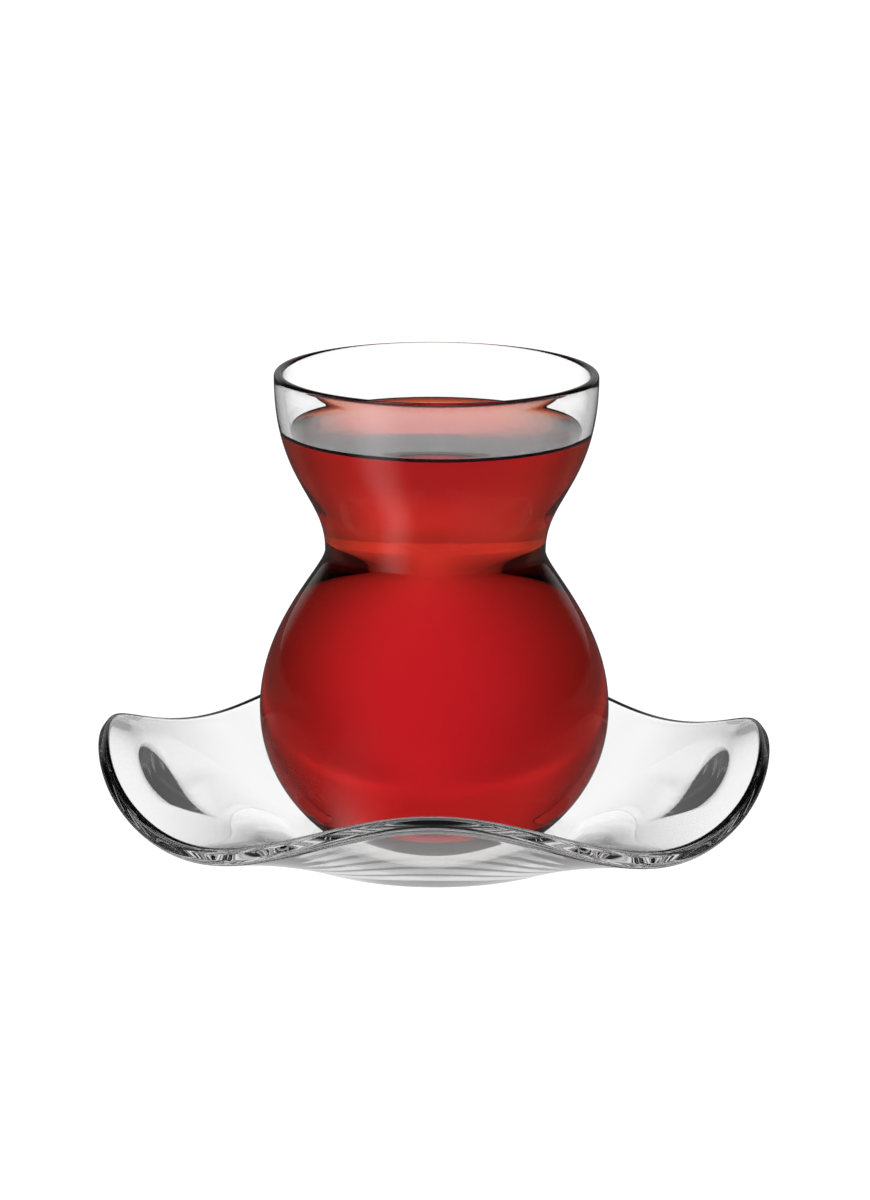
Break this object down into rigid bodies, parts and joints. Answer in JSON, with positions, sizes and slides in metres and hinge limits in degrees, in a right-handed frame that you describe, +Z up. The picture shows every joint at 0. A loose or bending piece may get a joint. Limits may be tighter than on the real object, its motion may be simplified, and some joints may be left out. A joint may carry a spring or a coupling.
{
  "type": "tea glass with saucer",
  "caption": "Waisted clear tea glass, filled with red tea, standing on a clear glass saucer with a wavy rim; for serving and drinking hot tea.",
  "frame": {"origin": "on the table, under the middle of the saucer's foot ring", "axes": "+Z up along the glass's axis; +X, -X, +Y and -Y each point to a raised lobe of the saucer; the picture looks along +Y"},
  "size_m": [0.1194, 0.1196, 0.0865],
  "materials": {
    "saucer_glass": "polished",
    "drinking_glass": "polished",
    "tea": "polished"
  },
  "bodies": {
    "root": {"saucer": "saucer_glass", "glass": "drinking_glass", "tea": "tea"}
  },
  "joints": []
}
